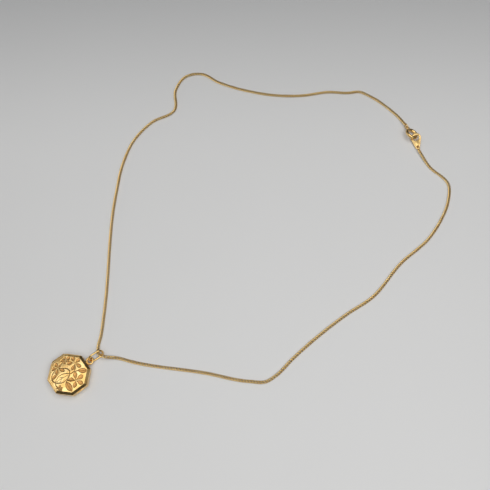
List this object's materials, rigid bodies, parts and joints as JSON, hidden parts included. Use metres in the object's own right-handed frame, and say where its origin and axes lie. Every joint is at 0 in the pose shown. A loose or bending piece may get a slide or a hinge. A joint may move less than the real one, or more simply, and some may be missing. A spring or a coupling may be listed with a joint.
{
  "type": "locket necklace",
  "caption": "Hinged octagonal gold locket with an engraved face, hung by an oval ring on a fine curb chain closed with a bolt ring.",
  "frame": {"origin": "centre of the case's flat back face, which lies on the surface", "axes": "+Z out of the engraved face, +Y from the centre towards the ear and the chain, the hinge along -X and the side that opens at +X"},
  "size_m": [0.1312, 0.1826, 0.004],
  "materials": {
    "gold": "polished yellow gold",
    "gold_inside": "satin yellow gold",
    "chain_gold": "polished yellow gold, slightly duller",
    "picture_card": "matt printed card",
    "clear_window": "clear",
    "spring_steel": "bright wire"
  },
  "bodies": {
    "necklace": {"chain": "chain_gold", "clasp_jump_ring": "gold", "bolt_ring_eye": "gold", "bolt_ring_tube": "gold", "bolt_spring": "spring_steel", "end_tag": "gold", "tag_jump_ring": "gold"},
    "bolt": {"bolt_slide": "gold"},
    "bail": {"bail_ring": "gold"},
    "back": {"back_shell": "gold", "closing_rim": "gold_inside", "back_picture": "picture_card", "back_window": "clear_window", "back_frame": "gold_inside", "back_knuckles": "gold", "hinge_pin": "gold", "ear_ring": "gold"},
    "cover": {"front_shell": "gold", "front_picture": "picture_card", "front_window": "clear_window", "front_frame": "gold_inside", "front_knuckle": "gold"}
  },
  "joints": [
    {"name": "bail_swing", "type": "hinge", "parent": "necklace", "child": "bail", "pos_m": [-0.0002, 0.0127, 0.0012], "axis": [-1, 0, 0], "range_deg": [0, 40]},
    {"name": "locket_swing", "type": "hinge", "parent": "bail", "child": "back", "pos_m": [-0.00009, 0.0105, 0.00186], "axis": [-0.9041, 0.0632, -0.4226], "range_deg": [0, 45]},
    {"name": "cover_hinge", "type": "hinge", "parent": "back", "child": "cover", "pos_m": [-0.00755, 0, 0.002], "axis": [0, -1, 0], "range_deg": [0, 175]},
    {"name": "bolt_slide_back", "type": "hinge", "parent": "necklace", "child": "bolt", "pos_m": [0.0024, 0.172, 0.00193], "axis": [0, 0.454, 0.891], "range_deg": [0, 60], "stiffness_Nm_per_rad": 0.0004, "springref_deg": -20.05, "deforming": ["bolt_spring"]}
  ]
}
